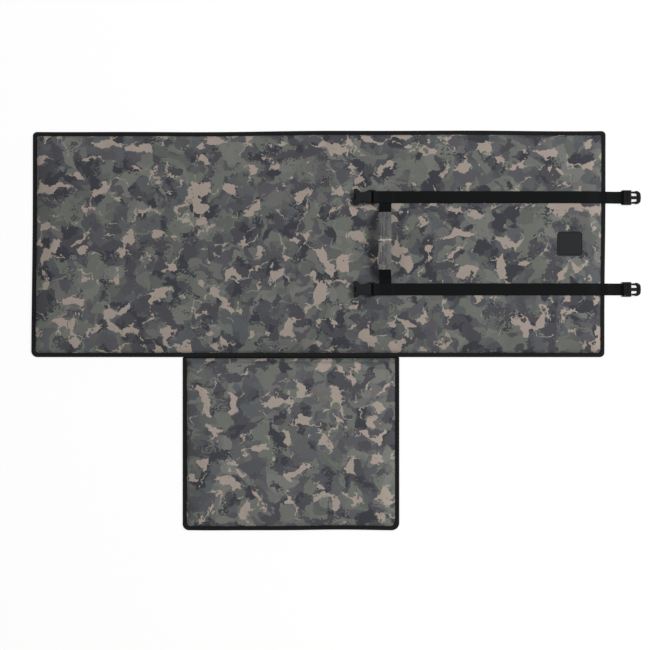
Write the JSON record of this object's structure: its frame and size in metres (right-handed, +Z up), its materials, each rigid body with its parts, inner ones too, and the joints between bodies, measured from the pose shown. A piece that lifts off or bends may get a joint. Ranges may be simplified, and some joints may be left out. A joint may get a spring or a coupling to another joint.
{
  "type": "unhooking mat",
  "caption": "Flat padded mat with bound edges and a hinged kneeling flap, closed by webbing straps with side-release buckles and lifted by a sleeved webbing handle.",
  "frame": {"origin": "middle of the main pad's flat underside, on the ground", "axes": "+X along the main pad towards the buckle plugs; +Y across it, away from the kneeling flap; +Z up, out of the camouflage side"},
  "size_m": [1.2748, 0.8363, 0.0478],
  "materials": {
    "camouflage_fabric": "matte",
    "base_fabric": "satin",
    "foam": "matte",
    "binding_tape": "matte",
    "webbing": "matte",
    "socket_plastic": "satin",
    "plug_plastic": "satin",
    "tack_thread": "matte",
    "patch_rubber": "matte"
  },
  "bodies": {
    "main_mat": {"main_foam_core": "foam", "main_top_cover": "camouflage_fabric", "main_base_cover": "base_fabric", "main_edge_binding": "binding_tape", "rear_strap": "webbing", "front_strap": "webbing", "rear_handle_tab": "webbing", "front_handle_tab": "webbing", "rear_strap_handle_tack": "tack_thread", "front_strap_handle_tack": "tack_thread", "rear_strap_edge_tack": "tack_thread", "front_strap_edge_tack": "tack_thread", "blank_patch": "patch_rubber"},
    "kneeling_flap": {"flap_foam_core": "foam", "flap_top_cover": "camouflage_fabric", "flap_base_cover": "base_fabric", "flap_edge_binding": "binding_tape", "flap_hinge_tape": "binding_tape"},
    "handle": {"handle_webbing": "webbing", "handle_sleeve": "camouflage_fabric"},
    "rear_buckle_socket": {"rear_socket": "socket_plastic"},
    "rear_free_strap": {"rear_strap_end": "webbing"},
    "rear_buckle_plug": {"rear_plug_frame": "plug_plastic"},
    "rear_plug_outer_arm": {"rear_plug_outer_prong": "plug_plastic"},
    "rear_plug_inner_arm": {"rear_plug_inner_prong": "plug_plastic"},
    "front_buckle_socket": {"front_socket": "socket_plastic"},
    "front_free_strap": {"front_strap_end": "webbing"},
    "front_buckle_plug": {"front_plug_frame": "plug_plastic"},
    "front_plug_outer_arm": {"front_plug_outer_prong": "plug_plastic"},
    "front_plug_inner_arm": {"front_plug_inner_prong": "plug_plastic"}
  },
  "joints": [
    {"name": "flap_fold", "type": "hinge", "parent": "main_mat", "child": "kneeling_flap", "pos_m": [-0.058, -0.23715, -0.00015], "axis": [1, 0, 0], "range_deg": [-30, 180]},
    {"name": "handle_tilt", "type": "hinge", "parent": "main_mat", "child": "handle", "pos_m": [0.1393, 0.0009, 0.01825], "axis": [0, 1, 0], "range_deg": [-40, 40], "deforming": ["handle_webbing"]},
    {"name": "rear_socket_lift", "type": "hinge", "parent": "main_mat", "child": "rear_buckle_socket", "pos_m": [0.115, 0.097, 0.0213], "axis": [0, 1, 0], "range_deg": [0, 115]},
    {"name": "rear_strap_end_fold", "type": "hinge", "parent": "main_mat", "child": "rear_free_strap", "pos_m": [0.6009, 0.097, 0.00665], "axis": [0, -1, 0], "range_deg": [-75, 140]},
    {"name": "rear_plug_swing", "type": "hinge", "parent": "rear_free_strap", "child": "rear_buckle_plug", "pos_m": [0.6393, 0.097, 0.004], "axis": [0, -1, 0], "range_deg": [-80, 50]},
    {"name": "rear_outer_prong_squeeze", "type": "hinge", "parent": "rear_buckle_plug", "child": "rear_plug_outer_arm", "pos_m": [0.6546, 0.10828, 0.004], "axis": [0, 0, -1], "range_deg": [0, 6], "stiffness_Nm_per_rad": 0.5},
    {"name": "rear_inner_prong_squeeze", "type": "hinge", "parent": "rear_buckle_plug", "child": "rear_plug_inner_arm", "pos_m": [0.6546, 0.08572, 0.004], "axis": [0, 0, 1], "range_deg": [0, 6], "stiffness_Nm_per_rad": 0.5},
    {"name": "front_socket_lift", "type": "hinge", "parent": "main_mat", "child": "front_buckle_socket", "pos_m": [0.115, -0.0952, 0.0213], "axis": [0, 1, 0], "range_deg": [0, 115]},
    {"name": "front_strap_end_fold", "type": "hinge", "parent": "main_mat", "child": "front_free_strap", "pos_m": [0.6009, -0.0952, 0.00665], "axis": [0, -1, 0], "range_deg": [-75, 140]},
    {"name": "front_plug_swing", "type": "hinge", "parent": "front_free_strap", "child": "front_buckle_plug", "pos_m": [0.6393, -0.0952, 0.004], "axis": [0, -1, 0], "range_deg": [-80, 50]},
    {"name": "front_outer_prong_squeeze", "type": "hinge", "parent": "front_buckle_plug", "child": "front_plug_outer_arm", "pos_m": [0.6546, -0.10648, 0.004], "axis": [0, 0, 1], "range_deg": [0, 6], "stiffness_Nm_per_rad": 0.5},
    {"name": "front_inner_prong_squeeze", "type": "hinge", "parent": "front_buckle_plug", "child": "front_plug_inner_arm", "pos_m": [0.6546, -0.08392, 0.004], "axis": [0, 0, -1], "range_deg": [0, 6], "stiffness_Nm_per_rad": 0.5}
  ]
}
